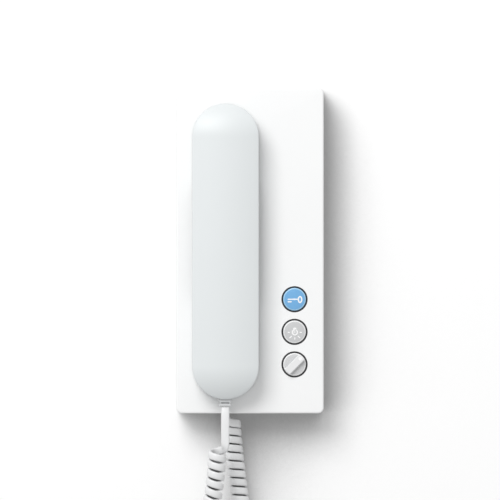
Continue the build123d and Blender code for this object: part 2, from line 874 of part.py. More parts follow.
def microphone_boot():
    boot = rod(handset_x, mouth_z, cup_inside, cup_inside - boot_depth, boot_diameter / 2)
    boot -= rod(handset_x, mouth_z, cup_inside - boot_floor, -total_depth, microphone_diameter / 2)
    return boot - rod(handset_x, mouth_z, 0, -total_depth, boot_port_radius)


def microphone():
    back = cup_inside - boot_floor
    return rod(handset_x, mouth_z, back, back - microphone_depth, microphone_diameter / 2)


def ballast_weight():
    """The steel bar on the grip's floor that gives the handset its weight."""
    back = grip_back - shell_wall
    middle = (grip_top_z + grip_bottom_z) / 2
    shape = Rectangle(ballast_width, ballast_length)
    bar = along_y(handset_x, middle, back, back - ballast_thickness, shape)
    return chamfer(bar.edges(), ballast_chamfer_share * ballast_thickness)


def handset_screws():
    head = (screw_head_radius, screw_head_height)
    return pan_screws(handset_screw_places(), screw_seat, screw_shank_radius, head, screw_length, -1)


# Cord


def cord_tail():
    """The flat straight tail from the handset's plug down to the coil."""
    end = (plug_x, handset_plug_y, handset_plug_bottom)
    start = Plane(origin=end, x_dir=(1, 0, 0), z_dir=(0, 0, -1))
    return extrude(start * RectangleRounded(tail_width, tail_thickness, tail_round), amount=tail_length)


def coil_axis():
    """Straight runs joined by arcs, each as large as its two runs allow."""
    points = [Vector(x, y, station_bottom + z) for x, y, z in coil_route]
    radii = []
    for a, b, c in zip(points, points[1:], points[2:]):
        half_turn = math.radians((b - a).get_angle(c - b)) / 2
        radii.append(arc_share * min((b - a).length, (c - b).length) / math.tan(half_turn))
    print("coil route radii", [round(radius, 1) for radius in radii])
    return Wire(FilletPolyline(*points, radius=radii).edges())


def biarc(start, leaving, end, arriving):
    """Two arcs from start to end that leave and arrive in the given directions."""
    across = end - start
    along = across.dot(leaving + arriving)
    spread = 1 - leaving.dot(arriving)
    reach = (math.sqrt(along**2 + 2 * spread * across.dot(across)) - along) / (2 * spread)
    first, second = start + leaving * reach, end - arriving * reach
    middle = (first + second) * 0.5
    turned = (second - first).normalized()
    return [Edge.make_tangent_arc(start, leaving, middle), Edge.make_tangent_arc(middle, turned, end)]


class Helix:
    """A left-handed helix round the coil's axis, from the back at the handset to the front at the base."""

    def __init__(self):
        self.axis = coil_axis()
        self.radius = (coil_diameter - cord_diameter) / 2
        whole = round(self.axis.length / (coil_pitch * (1 + coil_opening_share)) - 1 / 2)
        self.turns = whole + 1 / 2

    def place(self, share):
        """The point at that share of the axis: the turns lie closest at both ends of the coil."""
        direction = self.axis.tangent_at(share)
        front = Vector(0, -1, 0)
        side = (front - direction * front.dot(direction)).normalized()
        other = direction.cross(side)
        wound = share + coil_opening_share * math.sin(2 * math.pi * share) / (2 * math.pi)
        turn = math.pi - 2 * math.pi * self.turns * wound
        spoke = side * math.cos(turn) + other * math.sin(turn)
        return self.axis.position_at(share) + spoke * self.radius

    def direction(self, share):
        step = same_place / self.axis.length
        low, high = max(0, share - step), min(1, share + step)
        return (self.place(high) - self.place(low)).normalized()


def least_gap(wire, turns):
    """The least distance between turns of the cord, measured on points of its centre line."""
    count = round(turns * coil_samples_per_turn)
    points = [wire.position_at(place / count) for place in range(count + 1)]
    skip = coil_samples_per_turn * 3 // 4
    near = min(
        (points[a] - points[b]).length
        for a in range(count)
        for b in range(a + skip, min(count + 1, a + 2 * coil_samples_per_turn))
    )
    return near - cord_diameter


def cord_coil():
    """The curly cord: one six-sided tube wound on arcs, straight for a diameter at each end."""
    helix = Helix()
    up, down = Vector(0, 0, 1), Vector(0, 0, -1)
    top = Vector(plug_x, handset_plug_y, handset_plug_bottom - tail_length)
    bend = top + down * cord_diameter
    base = Vector(plug_x, base_plug_y, base_plug_bottom)
    base_bend = base + down * cord_diameter
    edges = [Edge.make_line(top, bend)]
    edges += biarc(bend, down, helix.place(0), helix.direction(0))
    halves = round(2 * helix.turns)
    for half in range(halves):
        start, end = half / halves, (half + 1) / halves
        leaving, arriving = helix.direction(start), helix.direction(end)
        edges += biarc(helix.place(start), leaving, helix.place(end), arriving)
    edges += biarc(helix.place(1), helix.direction(1), base_bend, up)
    edges.append(Edge.make_line(base_bend, base))
    path = Wire(edges)
    start = Plane(origin=top, x_dir=(1, 0, 0), z_dir=down)
    turns = [2 * math.pi * side / cord_sides for side in range(cord_sides)]
    corners = [Vector(math.cos(turn), math.sin(turn), 0) * (cord_diameter / 2) for turn in turns]
    section = Face(Wire.make_polygon([start.from_local_coords(corner) for corner in corners], close=True))
    coil = Solid.sweep(section, path)
    arcs = [edge.radius for edge in path.edges() if edge.geom_type == GeomType.CIRCLE]
    print("coil turns", helix.turns, "cord length", round(path.length, 1))
    print("tightest arc", round(min(arcs), 2))
    print("least gap between turns", round(least_gap(path, helix.turns), 2))
    print("volume over section times length", round(coil.volume / (section.area * path.length), 4))
    return coil


pieces = {
    "wall_plate": wall_plate,
    "front_cover": front_cover,
    "key_frame": key_frame,
    "circuit_board": circuit_board,
    "terminal_block": terminal_block,
    "terminal_screws": terminal_screws,
    "call_sounder": call_sounder,
    "hook_switch": hook_switch,
    "door_switch": lambda: key_switch(door_key_z),
    "light_switch": lambda: key_switch(light_key_z),
    "volume_potentiometer": volume_potentiometer,
    "board_screws": board_screws,
    "frame_screws": frame_screws,
    "cord_jack": cord_jack,
    "base_plug": lambda: plug(base_plug_y, base_plug_bottom),
    "door_button": lambda: push_key(door_key_z),
    "door_switch_stem": lambda: switch_stem(door_key_z),
    "light_button": lambda: push_key(light_key_z),
    "light_switch_stem": lambda: switch_stem(light_key_z),
    "volume_knob": volume_knob,
    "volume_shaft": volume_shaft,
    "hook_plunger": hook_plunger,
    "handset_shell": handset_shell,
    "handset_back": handset_back,
    "receiver_capsule": receiver_capsule,
    "receiver_gasket": receiver_gasket,
    "microphone": microphone,
    "microphone_boot": microphone_boot,
    "ballast_weight": ballast_weight,
    "handset_jack": handset_jack,
    "handset_screws": handset_screws,
    "handset_plug": lambda: plug(handset_plug_y, handset_plug_bottom),
    "cord_tail": cord_tail,
    "cord_coil": cord_coil,
}

for node, make in pieces.items():
    export_step(make(), f"parts/{node}.step")
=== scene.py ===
import math

import bpy
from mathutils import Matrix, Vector


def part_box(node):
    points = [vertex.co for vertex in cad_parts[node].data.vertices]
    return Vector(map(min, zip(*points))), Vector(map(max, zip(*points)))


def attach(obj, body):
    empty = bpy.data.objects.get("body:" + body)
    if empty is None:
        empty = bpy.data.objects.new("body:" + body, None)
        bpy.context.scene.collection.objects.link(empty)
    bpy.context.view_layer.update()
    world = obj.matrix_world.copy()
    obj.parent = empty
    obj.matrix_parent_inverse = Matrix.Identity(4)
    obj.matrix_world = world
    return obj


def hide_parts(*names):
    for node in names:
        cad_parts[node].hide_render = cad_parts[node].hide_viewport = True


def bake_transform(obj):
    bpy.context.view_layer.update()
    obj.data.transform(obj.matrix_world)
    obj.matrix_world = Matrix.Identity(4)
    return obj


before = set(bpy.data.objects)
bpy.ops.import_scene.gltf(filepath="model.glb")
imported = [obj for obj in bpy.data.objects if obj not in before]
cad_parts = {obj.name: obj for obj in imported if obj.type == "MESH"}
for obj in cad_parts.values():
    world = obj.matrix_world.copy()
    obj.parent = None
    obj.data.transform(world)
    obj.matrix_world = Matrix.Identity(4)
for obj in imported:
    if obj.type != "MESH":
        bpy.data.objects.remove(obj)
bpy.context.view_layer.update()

MM = 0.001

# Keys and knob, in millimetres. The ink lies on a key's domed face, and is cut into strips to follow it.
# The knob's cheeks get painted shade between two depths behind its front.
INK = 0.06
INK_STRIP = 1.0
INK_CURVE_POINTS = 24
KEY_FACE_RADIUS = 7.05
KEY_DOME = 0.45
DOME_RADIUS = (KEY_FACE_RADIUS**2 + KEY_DOME**2) / (2 * KEY_DOME)
# Painted highlight: a thin light line round each key just inside its edge, at this radius and width.
HIGHLIGHT_LINE_RADIUS = 6.65
HIGHLIGHT_LINE_WIDTH = 0.4
CHEEK_SHADE_DEPTHS = (0.7, 1.1)
DOT_REACH = 5.0

# The curly cord, in millimetres. The curls lie closer at its two ends than in the middle, at the base most.
SHEATH_WIDTH = 4.3
TAIL_WIDTH = 5.1
SHEATH_THICKNESS = 2.4
SHEATH_ROUND = 1.05
COIL_ACROSS = 11.4
COIL_TURNS = 40.5
END_CLOSENESS = 0.03
BASE_CLOSENESS = 0.03

# How finely the cord is made. Over the taper's points, of which a few lie in the tail, its width passes from
# the tail's to the curls'.
AXIS_STEPS = 40
LINE_STEPS = 3
POINTS_PER_TURN = 16
ROUND_STEPS = 3
DIRECTION_SHARE = 0.004
TAPER_POINTS = 24
TAPER_OVERLAP = 6

# The cord's route: the coil's axis from the handset's end down round the loop and up to the base, then the
# centreline of the tail from the handset's plug, with the side that faces outwards in the coil, and that of
# the short end that goes up into the base plug.
COIL_ROUTE = [
    (-20.1, -35.0, -124.3),
    (-21.2, -33.2, -145.5),
    (-27.0, -30.0, -172),
    (-31.5, -24.5, -197),
    (-21.5, -17.5, -214.7),
    (-4.0, -15.5, -216.4),
    (7.5, -14.0, -204),
    (2.5, -12.5, -184),
    (-4.9, -11.5, -163),
    (-7.7, -10.8, -141),
    (-10.2, -10.6, -122),
    (-11.2, -10.6, -106.5),
]
TAIL_ROUTE = [
    (-15.2, -33.6, -95.6),
    (-15.2, -35.0, -100.5),
    (-15.2, -35.0, -110),
    (-15.2, -34.9, -117.5),
    (-15.2, -34.5, -121.0),
    (-15.8, -32.6, -122.6),
    (-17.6, -31.1, -123.1),
]
TAIL_OUTWARDS = [
    (0, 1, 0),
    (0, 1, 0),
    (0, 1, 0),
    (0.1, 1, 0),
    (0.45, 0.85, 0.2),
    (0.75, 0.65, 0.1),
    (0.4, 0.9, 0),
]
BASE_ROUTE = [
    (-13.4, -15.1, -105.4),
    (-15.0, -14.8, -103.6),
    (-15.2, -14.5, -101.5),
    (-15.2, -14.5, -98),
]
FORWARDS = Vector((0, -1, 0))

# Surfaces, in metres, and where a noise's values mostly lie
NOISE_RANGE = (0.3, 0.7)
MOTTLE_SIZE = 0.045
GLOSS_PATCH_SIZE = 0.012
GLOSS_SPREAD = 0.04
SKIN_DEPTH = 0.000006
SKIN_STRENGTH = 0.6
PLASTIC_IOR = 1.46
SCRATCH_SIZE = 0.0006
SCRATCH_STRETCH = (1.0, 1.0, 0.15)
SCRATCH_SHADE = 0.86
SCRATCH_GLOSS = (-0.06, 0.08)
WELD_DISTANCE = 0.000002
SHARP_ANGLE = math.radians(32)
CORD_SMOOTH_ANGLE = math.radians(50)

# The wall, in metres. Its shadow is deepened where a place sees little of its open side, from the shadow's
# core out to the open wall. It glows a little to the camera, and a ray that starts nearer to it than its
# clear reach goes through it.
WALL_SIZE = 6
WALL_GAP = 0.0006
WALL_WHITE = 0.78
WALL_GLOW = 0.2
WALL_OPEN_SIDE = (-0.8, -1.0, 0.85)
WALL_OPEN_REACH = 0.3
WALL_OPEN_SAMPLES = 12
WALL_SHADOW_OPEN = (0.36, 0.78)
WALL_SHADOW_DEPTH = 0.36
WALL_CLEAR_REACH = 4 * MM

# Light and camera, in metres and watts, with the sensor in millimetres. The camera's distance is counted
# from the view's middle, and there the view is as wide as its value across says.
WORLD_LIGHT = 0.61
KEY_SIDE = (-0.42, -1.0, 0.74)
KEY_DISTANCE = 2.4
KEY_SIZE = 1.3
KEY_POWER = 37
CAMERA_DISTANCE = 5.0
VIEW_MIDDLE = (0.00003, -0.025, 0.0003)
VIEW_ACROSS = 0.3085
SENSOR_WIDTH = 36
VIEW_END = 50


# Nodes


def feed(tree, value, socket):
    """Links another socket to this one, or gives it a value of its own."""
    if isinstance(value, bpy.types.NodeSocket):
        tree.links.new(value, socket)
    else:
        socket.default_value = value


def maths(tree, operation, *values, kind="ShaderNodeMath", output="Value"):
    """What a maths node makes of those sockets and numbers."""
    node = tree.nodes.new(kind)
    node.operation = operation
    for value, socket in zip(values, node.inputs):
        feed(tree, value, socket)
    return node.outputs[output]


def vector_maths(tree, operation, *values, output="Vector"):
    return maths(tree, operation, *values, kind="ShaderNodeVectorMath", output=output)


def stretched(tree, value, known, wanted, interpolation="LINEAR"):
    """The value, with its known range brought to the wanted one."""
    node = tree.nodes.new("ShaderNodeMapRange")
    node.interpolation_type = interpolation
    for part, number in zip(("From Min", "From Max", "To Min", "To Max"), (*known, *wanted)):
        node.inputs[part].default_value = number
    tree.links.new(value, node.inputs["Value"])
    return node.outputs["Result"]


def mixed_color(tree, factor, first, second):
    """The first colour where the factor is zero, and the second where it is one."""
    mix = tree.nodes.new("ShaderNodeMix")
    mix.data_type = "RGBA"
    feed(tree, first, mix.inputs["A"])
    feed(tree, second, mix.inputs["B"])
    tree.links.new(factor, mix.inputs["Factor"])
    return mix.outputs["Result"]


def mixed_shader(tree, factor, first, second):
    mix = tree.nodes.new("ShaderNodeMixShader")
    tree.links.new(factor, mix.inputs["Fac"])
    tree.links.new(first, mix.inputs[1])
    tree.links.new(second, mix.inputs[2])
    return mix.outputs["Shader"]


def grain(tree, place, size, detail=2.0):
    """A noise whose blotches are that many metres across."""
    noise = tree.nodes.new("ShaderNodeTexNoise")
    noise.inputs["Scale"].default_value = 1 / size
    noise.inputs["Detail"].default_value = detail
    tree.links.new(place, noise.inputs["Vector"])
    return noise.outputs["Fac"]


# Materials


def new_material(name):
    """A material with its node tree, its shader and the place on the piece's own coordinates."""
    material = bpy.data.materials.new(name)
    material.use_nodes = True
    tree = material.node_tree
    coordinates = tree.nodes.new("ShaderNodeTexCoord")
    coordinates.name = "place"
    return material, tree, tree.nodes["Principled BSDF"], coordinates.outputs["Object"]


def moulded(name, color, roughness, texture=0.0004, shade=0.975, coat=0.0):
    """Moulded plastic: a fine eroded texture, a faint flow mottle and a slightly uneven gloss."""
    material, tree, shader, place = new_material(name)
    darker = [channel * shade for channel in color]
    mottled = mixed_color(tree, grain(tree, place, MOTTLE_SIZE), (*color, 1), (*darker, 1))
    tree.links.new(mottled, shader.inputs["Base Color"])
    patches = grain(tree, place, GLOSS_PATCH_SIZE, detail=3.0)
    gloss = (roughness - GLOSS_SPREAD, roughness + GLOSS_SPREAD)
    tree.links.new(stretched(tree, patches, NOISE_RANGE, gloss), shader.inputs["Roughness"])
    bump = tree.nodes.new("ShaderNodeBump")
    bump.inputs["Strength"].default_value = SKIN_STRENGTH
    bump.inputs["Distance"].default_value = SKIN_DEPTH
    tree.links.new(grain(tree, place, texture, detail=1.0), bump.inputs["Height"])
    tree.links.new(bump.outputs["Normal"], shader.inputs["Normal"])
    shader.inputs["IOR"].default_value = PLASTIC_IOR
    shader.inputs["Coat Weight"].default_value = coat
    return material


def metal(name, color, roughness):
    """Plated or turned metal with fine scratches in it."""
    material, tree, shader, place = new_material(name)
    shader.inputs["Metallic"].default_value = 1.0
    stretch = tree.nodes.new("ShaderNodeMapping")
    stretch.inputs["Scale"].default_value = SCRATCH_STRETCH
    tree.links.new(place, stretch.inputs["Vector"])
    scratches = grain(tree, stretch.outputs["Vector"], SCRATCH_SIZE, detail=3.0)
    darker = [channel * SCRATCH_SHADE for channel in color]
    scratched = mixed_color(tree, scratches, (*color, 1), (*darker, 1))
    tree.links.new(scratched, shader.inputs["Base Color"])
    gloss = [roughness + change for change in SCRATCH_GLOSS]
    tree.links.new(stretched(tree, scratches, NOISE_RANGE, gloss), shader.inputs["Roughness"])
    return material


def dress(node, material):
    """Gives a CAD node its material and smooth shading between sharp edges. Its mesh keeps its points."""
    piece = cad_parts[node]
    piece.data.materials.clear()
    piece.data.materials.append(material)
    piece.data.shade_smooth()
    weld = piece.modifiers.new("joined", "WELD")
    weld.merge_threshold = WELD_DISTANCE
    split = piece.modifiers.new("sharp_edges", "EDGE_SPLIT")
    split.split_angle = SHARP_ANGLE
    split.use_edge_sharp = False


white_cover = moulded("white_cover", (0.90, 0.905, 0.905), 0.48)
cool_handset = moulded("cool_white_handset", (0.725, 0.755, 0.762), 0.40)
grey_plate = moulded("wall_plate_grey", (0.70, 0.71, 0.71), 0.55)
collar_black = moulded("collar_black", (0.018, 0.018, 0.02), 0.42)
door_blue = moulded("door_key_blue", (0.17, 0.42, 0.72), 0.32, texture=0.0003)
light_grey = moulded("light_key_grey", (0.58, 0.585, 0.59), 0.34, texture=0.0003)
knob_grey = moulded("knob_grey", (0.80, 0.805, 0.81), 0.38, texture=0.0003)
plunger_grey = moulded("plunger_grey", (0.62, 0.63, 0.63), 0.36)
sheath_white = moulded("cord_sheath", (0.80, 0.805, 0.81), 0.3, texture=0.0006, shade=0.96)
plug_clear = moulded("plug_milky", (0.60, 0.61, 0.62), 0.22, coat=0.3)
board_green = moulded("board_green", (0.02, 0.16, 0.07), 0.35, texture=0.0008)
terminal_green = moulded("terminal_green", (0.06, 0.24, 0.12), 0.45)
works_black = moulded("works_black", (0.025, 0.025, 0.028), 0.45)
seal_rubber = moulded("seal_rubber", (0.02, 0.02, 0.02), 0.8, texture=0.0007)
can_dark = moulded("sounder_can", (0.06, 0.06, 0.065), 0.5)
zinc_steel = metal("zinc_steel", (0.62, 0.62, 0.61), 0.34)
pressed_aluminium = metal("pressed_aluminium", (0.78, 0.78, 0.79), 0.32)
ink_white = moulded("ink_white", (0.93, 0.93, 0.93), 0.5, texture=0.0002, shade=0.99)

NODE_FINISH = {
    "wall_plate": grey_plate,
    "front_cover": white_cover,
    "key_frame": collar_black,
    "circuit_board": board_green,
    "terminal_block": terminal_green,
    "terminal_screws": zinc_steel,
    "call_sounder": can_dark,
    "hook_switch": works_black,
    "door_switch": works_black,
    "light_switch": works_black,
    "volume_potentiometer": works_black,
    "board_screws": zinc_steel,
    "frame_screws": zinc_steel,
    "cord_jack": works_black,
    "base_plug": plug_clear,
    "cord_coil": sheath_white,
    "door_button": door_blue,
    "door_switch_stem": works_black,
    "light_button": light_grey,
    "light_switch_stem": works_black,
    "volume_knob": knob_grey,
    "volume_shaft": zinc_steel,
    "hook_plunger": plunger_grey,
    "handset_shell": cool_handset,
    "handset_back": cool_handset,
    "receiver_capsule": pressed_aluminium,
    "receiver_gasket": seal_rubber,
    "microphone": pressed_aluminium,
    "microphone_boot": seal_rubber,
    "ballast_weight": zinc_steel,
    "handset_jack": works_black,
    "handset_screws": zinc_steel,
    "handset_plug": plug_clear,
    "cord_tail": sheath_white,
}
for node, finish in NODE_FINISH.items():
    dress(node, finish)


# Painted highlights and painted shade within a material


def key_face(node):
    """The middle of a key's face, in millimetres: across, depth and up."""
    low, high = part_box(node)
    return (low[0] + high[0]) / 2 / MM, low[1] / MM, (low[2] + high[2]) / 2 / MM


def tint_where(material, factor, color):
    """Lays a second colour over a material's own where the factor is one."""
    tree = material.node_tree
    target = tree.nodes["Principled BSDF"].inputs["Base Color"]
    over = mixed_color(tree, factor, target.links[0].from_socket, (*color, 1))
    tree.links.new(over, target)


def painted_edge_highlight(material, node, color):
    """A painted highlight: the thin light line that runs round a key just inside its edge."""
    tree = material.node_tree
    across, _, up = key_face(node)
    place = tree.nodes["place"].outputs["Object"]
    spoke = vector_maths(tree, "SUBTRACT", place, (across * MM, 0, up * MM))
    flat = vector_maths(tree, "MULTIPLY", spoke, (1, 0, 1))
    reach = vector_maths(tree, "LENGTH", flat, output="Value")
    away = maths(tree, "ABSOLUTE", maths(tree, "SUBTRACT", reach, HIGHLIGHT_LINE_RADIUS * MM))
    width = (HIGHLIGHT_LINE_WIDTH / 4 * MM, HIGHLIGHT_LINE_WIDTH * MM)
    tint_where(material, stretched(tree, away, width, (1.0, 0.0), "SMOOTHSTEP"), color)


def painted_cheek_shade(material, node, color):
    """Painted shade on the knob's two cheeks, which lie deeper than its bar."""
    tree = material.node_tree
    parts = tree.nodes.new("ShaderNodeSeparateXYZ")
    tree.links.new(tree.nodes["place"].outputs["Object"], parts.inputs["Vector"])
    front = key_face(node)[1] * MM
    depths = [front + depth * MM for depth in CHEEK_SHADE_DEPTHS]
    tint_where(material, stretched(tree, parts.outputs["Y"], depths, (0.0, 1.0)), color)


def painted_gap_shade(material, color):
    """Painted shade on the curls' inner face, so that the gaps between the curls look dark."""
    inside = material.node_tree.nodes.new("ShaderNodeAttribute")
    inside.attribute_name = "inner_face_shade"
    tint_where(material, inside.outputs["Fac"], color)


# Painted shade on the knob's recessed cheeks.
painted_cheek_shade(knob_grey, "volume_knob", (0.61, 0.615, 0.62))
# Painted highlights round the keys' and the knob's edges.
painted_edge_highlight(door_blue, "door_button", (0.45, 0.70, 0.88))
painted_edge_highlight(light_grey, "light_button", (0.92, 0.92, 0.92))
painted_edge_highlight(knob_grey, "volume_knob", (0.92, 0.92, 0.92))
# Painted shade on the cord's inner face, in the gaps between its curls.
painted_gap_shade(sheath_white, (0.34, 0.34, 0.345))


# Making and placing pieces


def add_object(name, data):
    piece = bpy.data.objects.new(name, data)
    bpy.context.scene.collection.objects.link(piece)
    return piece


def select_only(*pieces):
    """Selects these pieces and no other, with the first as the active one."""
    bpy.ops.object.select_all(action="DESELECT")
    for piece in pieces:
        piece.select_set(True)
    bpy.context.view_layer.objects.active = pieces[0]


def in_edit(action):
    bpy.ops.object.mode_set(mode="EDIT")
    bpy.ops.mesh.select_all(action="SELECT")
    action()
    bpy.ops.object.mode_set(mode="OBJECT")


def apply_place():
    bpy.ops.object.transform_apply(location=True, rotation=True, scale=True)


def settle(piece, name, material, body):
    """Puts the piece's place into its mesh, names it, and lets it ride on its body."""
    select_only(piece)
    apply_place()
    piece.name = name
    piece.data.materials.clear()
    piece.data.materials.append(material)
    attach(piece, body)


# Pictograms on the keys


def raise_ink():
    """Gives a flat mark facing forwards its thin layer of ink, closed behind."""
    bpy.ops.mesh.extrude_region_move(TRANSFORM_OT_translate={"value": (0, -INK * MM, 0)})
    bpy.ops.mesh.select_all(action="SELECT")
    bpy.ops.mesh.normals_make_consistent(inside=False)


def lay_on_dome(mark, face):
    """Cuts a flat mark into narrow strips, lets it follow the key's dome and raises its ink."""
    across, depth, up = face
    strips = math.ceil(KEY_FACE_RADIUS / INK_STRIP)

    def cut():
        for strip in range(-strips, strips + 1):
            for place, normal in (
                ((across + strip * INK_STRIP, depth, up), (1, 0, 0)),
                ((across, depth, up + strip * INK_STRIP), (0, 0, 1)),
            ):
                bpy.ops.mesh.select_all(action="SELECT")
                bpy.ops.mesh.bisect(plane_co=[part * MM for part in place], plane_no=normal)
        bpy.ops.mesh.select_all(action="SELECT")

    in_edit(cut)
    for point in mark.data.vertices:
        out = math.hypot(point.co.x / MM - across, point.co.z / MM - up)
        point.co.y += (DOME_RADIUS - math.sqrt(DOME_RADIUS**2 - out**2)) * MM
    in_edit(raise_ink)


def flat_disc(face, across, up, radius, points, turn=0.0):
    """A round face that looks forwards, its middle counted from the key face's middle."""
    bpy.ops.object.select_all(action="DESELECT")
    bpy.ops.mesh.primitive_circle_add(
        vertices=points,
        radius=radius * MM,
        fill_type="NGON",
        location=((face[0] + across) * MM, face[1] * MM, (face[2] + up) * MM),
        rotation=(math.pi / 2, turn, 0),
    )
    return bpy.context.object


def ink_bar(face, start, end, width):
    """A stroke with rounded ends from one place on a face to another, counted from its middle."""
    across, up = end[0] - start[0], end[1] - start[1]
    longer = (math.hypot(across, up) - width) / 2 * MM
    middle = ((start[0] + end[0]) / 2, (start[1] + end[1]) / 2)
    stroke = flat_disc(face, *middle, width / 2, INK_CURVE_POINTS, turn=-math.atan2(up, across))
    just_off_middle = width / 1000 * MM
    for point in stroke.data.vertices:
        if abs(point.co.x) > just_off_middle:
            point.co.x += math.copysign(longer, point.co.x)
    apply_place()
    return stroke


def ink_ring(face, centre, across, height, stroke_width):
    """An oval ring on a face, its centre counted from the face's middle."""
    ring = flat_disc(face, *centre, 0.5, 2 * INK_CURVE_POINTS)
    ring.scale = (across, height, 1)
    apply_place()

    def open_middle():
        bpy.ops.mesh.inset(thickness=stroke_width * MM, depth=0)
        bpy.ops.mesh.delete(type="ONLY_FACE")

    in_edit(open_middle)
    return ring


def pictogram(name, strokes, face, body):
    """Joins the strokes to one mark of white ink that follows its key's dome and rides on its key."""
    select_only(*strokes)
    bpy.ops.object.join()
    mark = bpy.context.object
    lay_on_dome(mark, face)
    settle(mark, name, ink_white, body)


def door_pictogram():
    """A key lying on its side: bow at the right, shaft, and one bit at the left."""
    face = key_face("door_button")
    strokes = [
        ink_bar(face, (-4.3, 0), (2.3, 0), 0.72),
        ink_bar(face, (-4.3, -1.55), (-1.7, -1.55), 0.75),
        ink_ring(face, (3.4, -0.15), 2.9, 4.4, 0.8),
    ]
    pictogram("door_pictogram", strokes, face, "door_key")


def light_pictogram():
    """A bulb with its cap at the top and five rays at its sides and under it."""
    face = key_face("light_button")
    middle, low = 0.2, -0.3
    strokes = [
        ink_ring(face, (middle, low), 3.9, 3.9, 0.75),
        ink_ring(face, (middle, low + 2.0), 2.1, 1.9, 0.85),
        ink_bar(face, (-4.2, low), (-2.7, low), 0.65),
        ink_bar(face, (3.1, low), (4.6, low), 0.65),
        ink_bar(face, (-1.6, low - 2.2), (-3.1, low - 3.6), 0.65),
        ink_bar(face, (2.0, low - 2.2), (3.5, low - 3.6), 0.65),
        ink_bar(face, (middle, low - 3.1), (middle, low - 4.6), 0.65),
    ]
    pictogram("light_pictogram", strokes, face, "light_key")


def knob_dot():
    """The dot that shows where the volume knob stands."""
    out = DOT_REACH * math.sqrt(0.5)
    dot = ink_ring(key_face("volume_knob"), (out, out), across=2.2, height=2.2, stroke_width=1.05)
    in_edit(raise_ink)
    settle(dot, "knob_dot", ink_white, "volume")


door_pictogram()
light_pictogram()
knob_dot()


# Curly cord


def follow(points, steps):
    """The points of a smooth NURBS line with those control points, in millimetres."""
    line = bpy.data.curves.new("line", "CURVE")
    line.dimensions = "3D"
    line.resolution_u = steps
    spline = line.splines.new("NURBS")
    spline.points.add(len(points) - 1)
    for point, place in zip(spline.points, points):
        point.co = (*place, 1)
    spline.order_u = 3
    spline.use_endpoint_u = True
    holder = add_object("line", line)
    bpy.context.view_layer.update()
    drawn = holder.evaluated_get(bpy.context.evaluated_depsgraph_get())
    mesh = bpy.data.meshes.new_from_object(drawn)
    places = [point.co.copy() for point in mesh.vertices]
    bpy.data.objects.remove(holder)
    bpy.data.curves.remove(line)
    bpy.data.meshes.remove(mesh)
    return places


def along(places, share, lengths):
    """The place at that share of a line's length."""
    goal = share * lengths[-1]
    index = next((i for i in range(1, len(lengths)) if lengths[i] >= goal), len(lengths) - 1)
    part = (goal - lengths[index - 1]) / (lengths[index] - lengths[index - 1])
    return places[index - 1].lerp(places[index], part)


def curls():
    """The helix round the coil's axis, and which way is outwards at each of its points."""
    axis = follow(COIL_ROUTE, AXIS_STEPS)
    lengths = [0.0]
    for a, b in zip(axis, axis[1:]):
        lengths.append(lengths[-1] + (b - a).length)
    radius = (COIL_ACROSS - SHEATH_THICKNESS) / 2
    count = round(COIL_TURNS * POINTS_PER_TURN)
    places, outwards = [], []
    for number in range(count + 1):
        share = number / count
        centre = along(axis, share, lengths)
        before = along(axis, max(0, share - DIRECTION_SHARE), lengths)
        after = along(axis, min(1, share + DIRECTION_SHARE), lengths)
        direction = (after - before).normalized()
        side = (FORWARDS - direction * FORWARDS.dot(direction)).normalized()
        other = direction.cross(side)
        wound = share + END_CLOSENESS * math.sin(2 * math.pi * share) / (2 * math.pi)
        wound -= BASE_CLOSENESS * math.sin(math.pi * share) / math.pi
        turn = math.pi - 2 * math.pi * COIL_TURNS * wound
        spoke = side * math.cos(turn) + other * math.sin(turn)
        places.append(centre + spoke * radius)
        outwards.append(spoke)
    return places, outwards


def cord_line():
    """The cord's centreline from the handset's plug to the base plug, and a line on its outward side."""
    helix, spokes = curls()
    tail_sides = [Vector(side).normalized() for side in TAIL_OUTWARDS]
    outwards = tail_sides + spokes + [FORWARDS] * len(BASE_ROUTE)
    controls = [Vector(place) for place in TAIL_ROUTE] + helix + [Vector(place) for place in BASE_ROUTE]
    outer = [place + out for place, out in zip(controls, outwards)]
    return follow(controls, LINE_STEPS), follow(outer, LINE_STEPS)


def sheath_section(width):
    """The flat cord's outline with its rounded edges, across and out."""
    half = width / 2 - SHEATH_ROUND
    reach = SHEATH_THICKNESS / 2 - SHEATH_ROUND
    outline = []
    for corner, (side, out) in enumerate(((1, 1), (-1, 1), (-1, -1), (1, -1))):
        for step in range(ROUND_STEPS + 1):
            turn = math.pi / 2 * (corner + step / ROUND_STEPS)
            across = side * half + SHEATH_ROUND * math.cos(turn)
            outline.append((across, out * reach + SHEATH_ROUND * math.sin(turn)))
    return outline


def sheath_points(line, outer):
    """The sheath's points, outline after outline, and how much painted shade each gets on the curls' inner
    face.
    """
    taper_start = len(TAIL_ROUTE) * LINE_STEPS - TAPER_OVERLAP
    points, inner = [], []
    for index, place in enumerate(line):
        ahead = line[min(index + 1, len(line) - 1)] - line[max(index - 1, 0)]
        ahead.normalize()
        out = outer[index] - place
        out = (out - ahead * out.dot(ahead)).normalized()
        across = ahead.cross(out)
        from_end = min(index, len(line) - 1 - index)
        curled = min(1, max(0, (from_end - taper_start) / TAPER_POINTS))
        section = sheath_section(TAIL_WIDTH + (SHEATH_WIDTH - TAIL_WIDTH) * curled)
        points += [(place + across * a + out * b) * MM for a, b in section]
        inner += [curled * max(0, -b * 2 / SHEATH_THICKNESS) for a, b in section]
    return points, inner


def sheath_faces(outlines, ring):
    """The tube's faces between outlines of that many points, and its two ends."""
    faces = []
    for index in range(outlines - 1):
        start = index * ring
        for step in range(ring):
            a, b = start + step, start + (step + 1) % ring
            faces.append((a, a + ring, b + ring, b))
    last = (outlines - 1) * ring
    faces.append(tuple(range(ring)))
    faces.append(tuple(last + step for step in reversed(range(ring))))
    return faces


